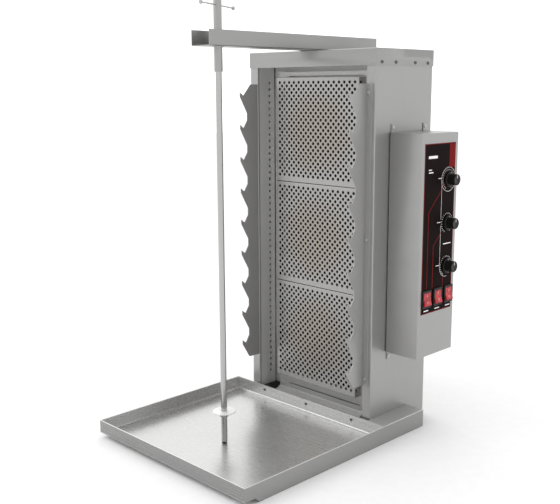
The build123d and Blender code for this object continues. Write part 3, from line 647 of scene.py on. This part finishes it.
@dataclass
class HeaterBank(Assembly):
    """Perforated covers, their frame, the recess walls and what lies behind."""

    skin: float = 0.5 * MM
    cover: HeatTintedSteel = HeatTintedSteel("cover sheet", tone=(0.38, 0.376, 0.37), roughness=0.4,
                                             contrast=0.04)
    reflector: HeatTintedSteel = HeatTintedSteel("reflector sheet", tone=(0.6, 0.597, 0.59), metallic=0.5)
    sheath: OxidisedTube = OxidisedTube("element sheath")
    # Painted light: the recess walls' tone is far lighter than the casing's, standing in for the light they
    # mirror inside the dark recess.
    wall: SteelSheet = SteelSheet("recess wall polished, painted bright", tone=(0.8, 0.796, 0.79), roughness=0.42,
                                  contrast=0.03, metallic=0.6)
    surround: SteelSheet = SteelSheet("frame sheet", tone=(0.58, 0.577, 0.57), roughness=0.4, metallic=0.5,
                                      grain=Grain.ALONG_X)
    fibre: Moulding = Moulding("pressed fibre", (0.6, 0.57, 0.5), 0.95, 300.0, 0.4)
    ceramic: Moulding = Moulding("white ceramic", (0.75, 0.72, 0.66), 0.55)

    def build(self) -> None:
        """Dresses the nodes; the covers get near-black painted shade everywhere behind their front skin."""
        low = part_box(f"heater_cover_{ZONES[-1]}")[0]
        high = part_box(f"heater_cover_{ZONES[0]}")[1]
        cover = replace(self.cover, centres=tuple(middle(f"heater_cover_{zone}")[1] for zone in ZONES),
                        painted_shade_low=(low.x + self.skin, low.y + self.skin, low.z + self.skin),
                        painted_shade_high=(high.x - self.skin, high.y + self.skin, high.z - self.skin)).make()
        sheath = self.sheath.make()
        for zone in ZONES:
            self.dress(f"heater_cover_{zone}", cover)
            self.dress(f"heating_element_{zone}", sheath)
        wall = self.wall.make()
        for node in ("recess_wall_left", "recess_wall_right"):
            self.dress(node, wall)
        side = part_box("heater_frame")[1].x
        # Painted shade on the reflector: near black behind the covers, between their lowest and highest edges.
        self.dress("reflector", replace(self.reflector, painted_shade_low=(-side, 0.0, low.z),
                                        painted_shade_high=(side, 1.0, high.z)).make())
        surround = self.surround.make()
        for node in ("heater_frame", "lower_apron"):
            self.dress(node, surround)
        self.dress("insulation_board", self.fibre.make())
        self.dress("element_insulators", self.ceramic.make())


@dataclass
class Rails(Assembly):
    """Hook rails and every screw."""

    edge: float = 0.3
    ear_reach: float = 10 * MM
    sheet: SteelSheet = SteelSheet("rail sheet", tone=(0.38, 0.378, 0.374), roughness=0.4, metallic=0.5)
    bright: SteelSheet = SteelSheet("bright screw heads", tone=(0.55, 0.545, 0.54), roughness=0.3,
                                    grain=Grain.NONE, grain_scale=900.0)
    dull: EarHighlightScrewSteel = EarHighlightScrewSteel("dull screw heads", tone=(0.13, 0.128, 0.126), roughness=0.35,
                                        grain=Grain.NONE, grain_scale=900.0)

    def build(self) -> None:
        """Builds the rails and dresses the screws, with a painted highlight on those on the control box's ears.
        """
        sheet = self.sheet.make()
        for side in ("left", "right"):
            self.refined(f"hook_rail_{side}", sheet, "root", "polished_steel", self.edge)
        low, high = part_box("control_housing")
        self.dress("rail_screws", self.bright.make())
        self.dress("casing_screws", replace(self.dull, low=low - Vector((self.ear_reach, 0, 0)),
                                            high=high).make())


@dataclass
class Spit(Assembly):
    """Spit, disc, sleeve and turning bar."""

    bar: SteelSheet = SteelSheet("drawn bar", tone=(0.46, 0.458, 0.452), roughness=0.2, contrast=0.03,
                                 metallic=1.0)
    sleeve: SteelSheet = SteelSheet("sleeve tube", tone=(0.37, 0.368, 0.364), roughness=0.3, contrast=0.04,
                                    metallic=1.0)
    # Painted reflection: the disc's near-white tone stands in for the white surround that its flat top mirrors.
    disc: SteelSheet = SteelSheet("disc sheet", tone=(0.82, 0.818, 0.81), roughness=0.5, grain=Grain.NONE,
                                  grain_scale=260.0, contrast=0.02, metallic=0.35)
    turned: SteelSheet = SteelSheet("turned bar", tone=(0.5, 0.495, 0.49), roughness=0.22,
                                    grain=Grain.NONE, grain_scale=260.0, contrast=0.03)
    black: Moulding = Moulding("blackened steel", (0.02, 0.02, 0.021), 0.4, 700.0, 0.2)

    def build(self) -> None:
        """Dresses the turned pieces."""
        self.dress("spit_rod", self.bar.make())
        self.dress("top_sleeve", self.sleeve.make())
        self.dress("spit_disc", self.disc.make())
        turned = self.turned.make()
        for node in ("disc_collar", "cross_pin", "pin_balls", "arm_bush", "spit_socket"):
            self.dress(node, turned)
        black = self.black.make()
        for node in ("spit_tip", "collar_screw"):
            self.dress(node, black)


# ---------------------------------------------------------------- control box
@dataclass(frozen=True)
class Trace:
    """Printed line that climbs from a switch, bends and ends beside a dial.

    It starts some way before the switch's middle, bends some way below the dial's and ends short of it.
    """

    switch: str
    zone: str
    before: float
    below: float
    short: float


@dataclass
class ControlBox(Assembly):
    """Label print, knobs and rocker switches on the right-hand box."""

    film: Moulding = Moulding("label film", (0.007, 0.0025, 0.0025), 0.6, 2200.0, 0.06, shine=0.06)
    white: Moulding = Moulding("white print", (0.9, 0.88, 0.86), 0.5, 2500.0, 0.05)
    red: Moulding = Moulding("red print", (0.2, 0.004, 0.003), 0.55, 2500.0, 0.05, shine=0.08)
    black: Moulding = Moulding("black plastic", (0.006, 0.006, 0.005), 0.4, 1500.0, 0.12, shine=0.3)
    # The rocker marks are real raised marks whose pale colour is also a painted highlight for the glints on each
    # rocker.
    mark: Moulding = Moulding("rocker mark painted glint", (0.75, 0.4, 0.4), 0.35, 2000.0, 0.05)
    lens: RedLens = RedLens("red lens")
    shaft: SteelSheet = SteelSheet("shaft", grain=Grain.ALONG_X)
    phenolic: Moulding = Moulding("phenolic", (0.05, 0.025, 0.015), 0.5)

    print_lift: float = 0.06 * MM
    border_inset: float = 1.1 * MM
    border_line: float = 1.6 * MM
    stripe_width: float = 20 * MM
    stripe_inset: float = 12 * MM
    stripe_gap: float = 27 * MM
    trace_line: float = 1.9 * MM
    trace_start: float = 22 * MM
    traces: tuple[Trace, ...] = (Trace("left", "upper", 0.0, 70 * MM, 10 * MM),
                                 Trace("middle", "middle", 21 * MM, 48 * MM, 20 * MM))
    straight_trace: Trace = Trace("right", "lower", 23 * MM, 25 * MM, 4 * MM)

    dial_radius: float = 22.0 * MM
    dial_start: float = math.radians(-60)
    dial_sweep: float = math.radians(300)
    dash_count: int = 22
    dash: tuple[float, float] = (2.6 * MM, 1.1 * MM)
    first_dash: float = 0.7
    dash_growth: float = 0.6
    tick: tuple[float, float] = (40 * MM, 26 * MM)
    tick_rise: float = 4 * MM
    tick_line: float = 1.6 * MM
    circle_radius: float = 27.5 * MM
    arc_radius: float = 25.5 * MM
    arc_start: float = math.pi * 0.9
    arc_sweep: float = math.pi * 0.65
    circle_line: float = 0.8 * MM
    guide_inset: float = 25.5 * MM
    guide_line: float = 0.9 * MM
    guide_gaps: tuple[float, float, float, float] = (6 * MM, 4 * MM, 10 * MM, 2 * MM)
    dial_bars: tuple[tuple[str, float, float], ...] = (("upper", 16 * MM, 2 * MM),
                                                       ("middle", 16 * MM, 2 * MM),
                                                       ("lower", -52 * MM, 15 * MM))
    dial_bar_shift: float = 1 * MM
    dial_bar_line: float = 2.2 * MM
    switch_bar_drop: float = 27.5 * MM
    switch_bar_half: float = 9 * MM
    switch_bar_line: float = 2.6 * MM
    heading_inset: float = 14 * MM
    heading_drop: float = 30 * MM
    heading_length: float = 34 * MM
    heading_line: float = 6 * MM
    rows: tuple[tuple[float, float], ...] = ((58 * MM, 11 * MM), (64 * MM, 17 * MM))
    row_indent: float = 2 * MM
    row_line: float = 2.4 * MM

    grip_radius: float = 12.6 * MM
    skirt_radius: float = 17.0 * MM
    skirt_height: float = 5.5 * MM
    skirt_chamfer: float = 1.2 * MM
    skirt_sides: int = 64
    flutes: int = 18
    flute_sides: int = 4
    flute_scale: float = 0.925
    front_round: float = 1.0 * MM
    dish_inset: float = 1.2 * MM
    dish_depth: float = 0.5 * MM
    index_width: float = 1.2 * MM

    mark_height: float = 7.4 * MM
    mark_base: float = 1.6 * MM
    mark_lift: float = 0.1 * MM
    mark_bar: tuple[float, float, float] = (0.5 * MM, 1.3 * MM, 6 * MM)
    mark_ring: tuple[float, float] = (2.6 * MM, 0.45 * MM)
    bezel_edge: float = 0.25
    rocker_edge: float = 0.6
    face: float = field(init=False)

    def __post_init__(self) -> None:
        """Reads the label's front face from the frame."""
        self.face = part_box("control_label")[1].x

    def hub(self, zone: str) -> Vector:
        """Centre of a dial on the label's face."""
        return Vector((self.face, *middle(f"knob_{zone}")))

    def switch(self, name: str) -> Vector:
        """Centre of a switch on the label's face."""
        return Vector((self.face, *middle(f"switch_body_{name}")))

    def build(self) -> None:
        """Builds every piece of the box's front and dresses what is behind it."""
        white, black = self.white.make(), self.black.make()
        self.dress("control_label", self.film.make())
        self.print_red()
        self.print_white(white)
        shaft, phenolic = self.shaft.make(), self.phenolic.make()
        for zone in ZONES:
            self.build_knob(zone, black, white)
            self.dress(f"control_shaft_{zone}", shaft)
            self.dress(f"regulator_{zone}", phenolic)
        lens, mark = self.lens.make(), self.mark.make()
        for name in SWITCHES:
            self.refined(f"switch_body_{name}", black, "root", "black_plastic", self.bezel_edge)
            self.refined(f"rocker_{name}", lens, f"rocker_{name}", "rocker_red", self.rocker_edge)
            self.build_rocker_marks(name, mark)

    def strip(self, mesh: bmesh.types.BMesh, start: tuple[float, float], end: tuple[float, float],
              width: float) -> None:
        """Prints a line between two points of the face.

        Args:
            mesh: the mesh to add to.
            start: Y and Z of the line's start.
            end: Y and Z of the line's end.
            width: the line's width.
        """
        run = Vector(end) - Vector(start)
        centre = (Vector(start) + Vector(end)) / 2
        place = side_plane(self.face + self.print_lift / 2, centre.x, centre.y, math.atan2(run.y, run.x))
        block(mesh, place, (run.length, width, self.print_lift))

    def ring(self, mesh: bmesh.types.BMesh, centre: Vector, radius: float, width: float,
             first: float = 0.0, sweep: float = math.tau) -> None:
        """Prints a ring or arc round a dial.

        Args:
            mesh: the mesh to add to.
            centre: the dial's centre.
            radius: the ring's middle radius.
            width: the line's width.
            first: angle of the arc's start, from +Y towards +Z.
            sweep: angle of the arc.
        """
        start = side_plane(self.face, centre.y, centre.z, first)
        corners = [mesh.verts.new(start @ Vector((radius + step * width / 2, 0, lift)))
                   for step, lift in ((-1, 0), (1, 0), (1, self.print_lift), (-1, self.print_lift))]
        sides = [mesh.edges.new((corners[index - 1], corners[index])) for index in range(4)]
        full = sweep >= math.tau - 1e-6
        bmesh.ops.spin(mesh, geom=[*corners, *sides], cent=centre, axis=(1, 0, 0), dvec=(0, 0, 0),
                       angle=sweep, steps=max(8, int(48 * sweep / math.tau)), use_merge=full,
                       use_duplicate=False)
        open_edges = [edge for edge in mesh.edges if edge.is_boundary]
        bmesh.ops.holes_fill(mesh, edges=open_edges, sides=4)

    def print_red(self) -> None:
        """Red border, stripe and the three traces from switches to dials."""
        mesh = bmesh.new()
        low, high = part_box("control_label")
        inset, line = self.border_inset, self.border_line
        y0, y1, z0, z1 = low.y + inset, high.y - inset, low.z + inset, high.z - inset
        self.strip(mesh, (y0, z0), (y0, z1), line)
        self.strip(mesh, (y0 + line, z0), (y1 - line, z0), line)
        self.strip(mesh, (y1, z0), (y1, z1), line)
        self.strip(mesh, (y0 + line, z1), (y1 - line, z1), line)
        along = y1 - self.stripe_inset
        self.strip(mesh, (along, self.hub("upper").z + self.stripe_gap), (along, z1 - line),
                   self.stripe_width)
        for trace in self.traces:
            switch, hub = self.switch(trace.switch), self.hub(trace.zone)
            start = switch.y - trace.before
            bend = hub.z - trace.below
            reach = hub.y - trace.short - start
            self.strip(mesh, (start, switch.z + self.trace_start), (start, bend), self.trace_line)
            self.strip(mesh, (start, bend), (start + reach, bend + reach), self.trace_line)
        trace = self.straight_trace
        switch, hub = self.switch(trace.switch), self.hub(trace.zone)
        start = switch.y - trace.before
        self.strip(mesh, (start, switch.z + self.trace_start - trace.short), (start, hub.z - trace.below),
                   self.trace_line)
        self.finished("label_print_red", mesh, self.red.make(), "root", "label_film")

    def print_white(self, white: bpy.types.Material) -> None:
        """Dash rings, ticks, guide line and the bars under the switches.

        Args:
            white: the print's finish.
        """
        mesh = bmesh.new()
        for zone in ZONES:
            self.print_dashes(mesh, self.hub(zone))
        upper, centre, lower = (self.hub(zone) for zone in ZONES)
        self.ring(mesh, upper, self.circle_radius, self.circle_line)
        self.ring(mesh, lower, self.arc_radius, self.circle_line, self.arc_start, self.arc_sweep)
        guide = upper.y - self.guide_inset
        gaps = self.guide_gaps
        self.strip(mesh, (guide, lower.z + gaps[0]), (guide, centre.z - gaps[1]), self.guide_line)
        self.strip(mesh, (guide, centre.z + gaps[2]), (guide, upper.z - gaps[3]), self.guide_line)
        for zone, drop, half in self.dial_bars:
            hub = self.hub(zone)
            height = hub.z - drop
            self.strip(mesh, (hub.y + self.dial_bar_shift - half, height),
                       (hub.y + self.dial_bar_shift + half, height), self.dial_bar_line)
        for name in SWITCHES:
            switch = self.switch(name)
            height = switch.z - self.switch_bar_drop
            self.strip(mesh, (switch.y - self.switch_bar_half, height),
                       (switch.y + self.switch_bar_half, height), self.switch_bar_line)
        low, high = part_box("control_label")
        heading = low.y + self.heading_inset
        self.strip(mesh, (heading, high.z - self.heading_drop),
                   (heading + self.heading_length, high.z - self.heading_drop), self.heading_line)
        for drop, length in self.rows:
            self.strip(mesh, (heading + self.row_indent, high.z - drop),
                       (heading + self.row_indent + length, high.z - drop), self.row_line)
        self.finished("label_print_white", mesh, white, "root", "label_film")

    def print_dashes(self, mesh: bmesh.types.BMesh, hub: Vector) -> None:
        """Prints a dial's growing dashes and the tick beside it.

        Args:
            mesh: the mesh to add to.
            hub: the dial's centre.
        """
        for index in range(self.dash_count):
            angle = self.dial_start + self.dial_sweep * index / (self.dash_count - 1)
            place = side_plane(self.face + self.print_lift / 2, hub.y + self.dial_radius * math.cos(angle),
                               hub.z + self.dial_radius * math.sin(angle), angle)
            grow = self.first_dash + self.dash_growth * index / self.dash_count
            block(mesh, place, (self.dash[0] * grow, self.dash[1], self.print_lift))
        height = hub.z + self.tick_rise
        self.strip(mesh, (hub.y - self.tick[0], height), (hub.y - self.tick[1], height), self.tick_line)

    def build_knob(self, zone: str, black: bpy.types.Material, white: bpy.types.Material) -> None:
        """Skirted knob with flutes, a dished front and a white index line.

        Args:
            zone: which of the three knobs.
            black: the knob's finish.
            white: the index line's finish.
        """
        body = f"knob_{zone}"
        low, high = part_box(body)
        hub = self.hub(zone)
        mesh = bmesh.new()
        skirt = bmesh.ops.create_circle(mesh, cap_ends=True, radius=self.skirt_radius,
                                        segments=self.skirt_sides, matrix=side_plane(low.x, hub.y, hub.z))
        rim = raised(mesh, skirt["verts"], self.skirt_height - self.skirt_chamfer)
        bmesh.ops.inset_region(mesh, faces=[rim], thickness=self.skirt_chamfer, depth=self.skirt_chamfer)
        place = side_plane(low.x + self.skirt_height, hub.y, hub.z)
        grip = bmesh.ops.create_circle(mesh, cap_ends=True, radius=self.grip_radius,
                                       segments=self.flutes * self.flute_sides, matrix=place)["verts"]
        centre = place.translation
        shrink = (Matrix.Translation(centre) @ Matrix.Scale(self.flute_scale, 4)
                  @ Matrix.Translation(-centre))
        bmesh.ops.transform(mesh, matrix=shrink, verts=grip[::self.flute_sides])
        front = raised(mesh, grip, high.x - centre.x - self.front_round)
        bmesh.ops.inset_region(mesh, faces=[front], thickness=self.front_round, depth=self.front_round)
        bmesh.ops.inset_region(mesh, faces=[front], thickness=self.dish_inset, depth=-self.dish_depth)
        knob = self.finished(f"knob_{zone}_moulding", mesh, black, body, "black_plastic", 30)
        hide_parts(body)
        line = bmesh.new()
        block(line, Matrix.Translation((high.x - 0.35 * MM, hub.y, hub.z + 7 * MM)),
              (0.4 * MM, self.index_width, 7 * MM))
        block(line, Matrix.Translation((low.x + 5.2 * MM, hub.y, hub.z + 14.6 * MM)),
              (0.8 * MM, self.index_width, 2.4 * MM))
        self.finished(f"knob_{zone}_index", line, white, body, "label_film")

    def build_rocker_marks(self, name: str, mark: bpy.types.Material) -> None:
        """Raised bar and ring on a rocker's two halves, pale as a painted highlight.

        Args:
            name: which of the three rockers.
            mark: the marks' finish.
        """
        body = f"rocker_{name}"
        joint = next(joint for joint in frame["joints"] if joint["child"] == body)
        lean = math.radians(joint["range_deg"][1] / 2)
        centre = self.switch(name)
        pivot = Matrix.Translation((joint["pos_m"][0], centre.y, centre.z)) @ Matrix.Rotation(-lean, 4, "Y")
        out = self.mark_base + self.mark_height * math.tan(lean) + self.mark_lift
        upper, lower = (pivot @ Matrix.Translation((out, 0, side * self.mark_height))
                        @ Matrix.Rotation(side * lean, 4, "Y") for side in (1, -1))
        mesh = bmesh.new()
        block(mesh, upper, self.mark_bar)
        self.torus(mesh, lower, *self.mark_ring)
        self.finished(f"rocker_{name}_marks", mesh, mark, body, "rocker_red")

    def torus(self, mesh: bmesh.types.BMesh, place: Matrix, radius: float, thick: float) -> None:
        """Adds a ring whose axis is its place's own X.

        Args:
            mesh: the mesh to add to.
            place: the ring's place.
            radius: its middle radius.
            thick: the radius of its wire.
        """
        before = set(mesh.verts)
        made = bmesh.ops.create_circle(mesh, cap_ends=False, radius=thick, segments=8,
                                       matrix=Matrix.Translation((0, radius, 0)))
        edges = list(dict.fromkeys(edge for vert in made["verts"] for edge in vert.link_edges))
        bmesh.ops.spin(mesh, geom=[*made["verts"], *edges], cent=(0, 0, 0), axis=(1, 0, 0), dvec=(0, 0, 0),
                       angle=math.tau, steps=24, use_merge=True, use_duplicate=False)
        added = [vert for vert in mesh.verts if vert not in before]
        bmesh.ops.transform(mesh, matrix=place, verts=added)


@dataclass
class Mains(Assembly):
    """Supply terminals, gland, grommet and wires."""

    nylon: Moulding = Moulding("black nylon", (0.02, 0.02, 0.022), 0.45)
    rubber: Moulding = Moulding("black rubber", (0.015, 0.015, 0.015), 0.75)
    sleeve: Moulding = Moulding("silicone sleeve", (0.35, 0.05, 0.03), 0.6)

    def build(self) -> None:
        """Dresses the nodes."""
        nylon = self.nylon.make()
        for node in ("terminal_block", "cable_gland"):
            self.dress(node, nylon)
        self.dress("wire_grommet", self.rubber.make())
        self.dress("heater_wires", self.sleeve.make())


# ---------------------------------------------------------------- stage
@dataclass
class Stage(Assembly):
    """Floor, light and camera."""

    lens: float = 54.99
    sensor: float = 36.0
    place: tuple[float, float, float] = (1.3909, -1.4799, 0.8039)
    azimuth: float = 45.043
    pitch: float = 10.833
    roll: float = -0.192
    surround: tuple[tuple[float, float], ...] = ((0.0, 1.1), (0.16, 1.1), (0.4, 0.82), (1.0, 0.78))
    back_left: tuple[float, float, float] = (-0.7, 0.7, 0.1)
    boost_start: float = 0.4
    boost: float = 1.35
    paint: Moulding = Moulding("floor paint", (0.86, 0.86, 0.86), 0.9, 20.0, 0.02, variation=0.01)
    floor_radius: float = 14.0
    floor_sides: int = 96
    floor_gap: float = 0.5 * MM
    softbox_place: tuple[float, float, float] = (-2.4, -2.6, 2.6)
    softbox_aim: tuple[float, float, float] = (0.0, 0.0, 0.4)
    softbox_size: float = 2.0
    softbox_power: float = 25.0
    daylight_from: tuple[float, float, float] = (-0.3, 0.2, 1.0)
    daylight_spread: float = math.radians(90)
    daylight_strength: float = 1.3

    def build(self) -> None:
        """Builds the stage."""
        bpy.context.scene.view_settings.view_transform = "Standard"
        self.build_floor()
        self.build_world()
        self.build_softbox()
        self.build_daylight()
        self.build_camera()

    def build_floor(self) -> None:
        """Pale floor disc under the object."""
        mesh = bmesh.new()
        bmesh.ops.create_circle(mesh, cap_ends=True, radius=self.floor_radius, segments=self.floor_sides,
                                matrix=Matrix.Translation((0, 0, CAD_BOX[0][2] - self.floor_gap)))
        data = bpy.data.meshes.new("floor")
        mesh.to_mesh(data)
        mesh.free()
        data.materials.append(self.paint.make())
        self.placed("floor", data)

    def build_world(self) -> None:
        """Soft studio surround: white round the horizon, greyer overhead, brightest back left."""
        world = bpy.data.worlds.new("studio")
        world.use_nodes = True
        bpy.context.scene.world = world
        graph = Graph(world.node_tree)
        background = world.node_tree.nodes["Background"]
        around = graph.node("ShaderNodeTexCoord", out="Generated")
        height = graph.node("ShaderNodeSeparateXYZ", inputs={0: around}, out="Z")
        facing = graph.node("ShaderNodeVectorMath", {"operation": "DOT_PRODUCT"},
                            {0: around, 1: self.back_left}, out="Value")
        boost = graph.node("ShaderNodeMapRange", inputs={
            "Value": facing, "From Min": self.boost_start, "From Max": 1.0, "To Min": 1.0, "To Max": self.boost})
        levels = [(stop, (level, level, level)) for stop, level in self.surround]
        graph.feed(background.inputs["Color"], graph.ramp(height, levels))
        graph.feed(background.inputs["Strength"], boost)

    def build_softbox(self) -> None:
        """Square softbox at the front left, aimed at the object."""
        data = bpy.data.lights.new("front left softbox", "AREA")
        data.size = self.softbox_size
        data.energy = self.softbox_power
        lamp = self.placed("front left softbox", data)
        lamp.location = self.softbox_place
        run = Vector(self.softbox_aim) - Vector(self.softbox_place)
        lamp.rotation_euler = run.to_track_quat("-Z", "Y").to_euler()

    def build_daylight(self) -> None:
        """Very soft distant light that evens out the floor."""
        data = bpy.data.lights.new("broad daylight", "SUN")
        data.energy = self.daylight_strength
        data.angle = self.daylight_spread
        sun = self.placed("broad daylight", data)
        sun.rotation_euler = Vector(self.daylight_from).to_track_quat("Z", "Y").to_euler()

    def build_camera(self) -> None:
        """Camera at the viewing angle."""
        data = bpy.data.cameras.new("camera")
        data.lens = self.lens
        data.sensor_width = self.sensor
        camera = self.placed("camera", data)
        turn = (Matrix.Rotation(math.radians(self.azimuth), 4, "Z")
                @ Matrix.Rotation(math.radians(90 - self.pitch), 4, "X")
                @ Matrix.Rotation(math.radians(self.roll), 4, "Z"))
        camera.matrix_world = Matrix.Translation(self.place) @ turn
        bpy.context.scene.camera = camera

    def placed(self, name: str, data: bpy.types.ID) -> bpy.types.Object:
        """Puts a stage object in the scene.

        Args:
            name: the object's name.
            data: its mesh, light or camera.

        Returns:
            The new object.
        """
        item = bpy.data.objects.new(name, data)
        bpy.context.scene.collection.objects.link(item)
        self.pieces.append(name)
        return item


def main() -> None:
    """Builds the assemblies in order and reports their pieces."""
    for assembly in (Stage(), Casing(), HeaterBank(), Rails(), Spit(), ControlBox(), Mains()):
        assembly.build()
        for piece in assembly.pieces:
            LOG.info("%s: %s", type(assembly).__name__, piece)


if __name__ == "__main__":
    main()
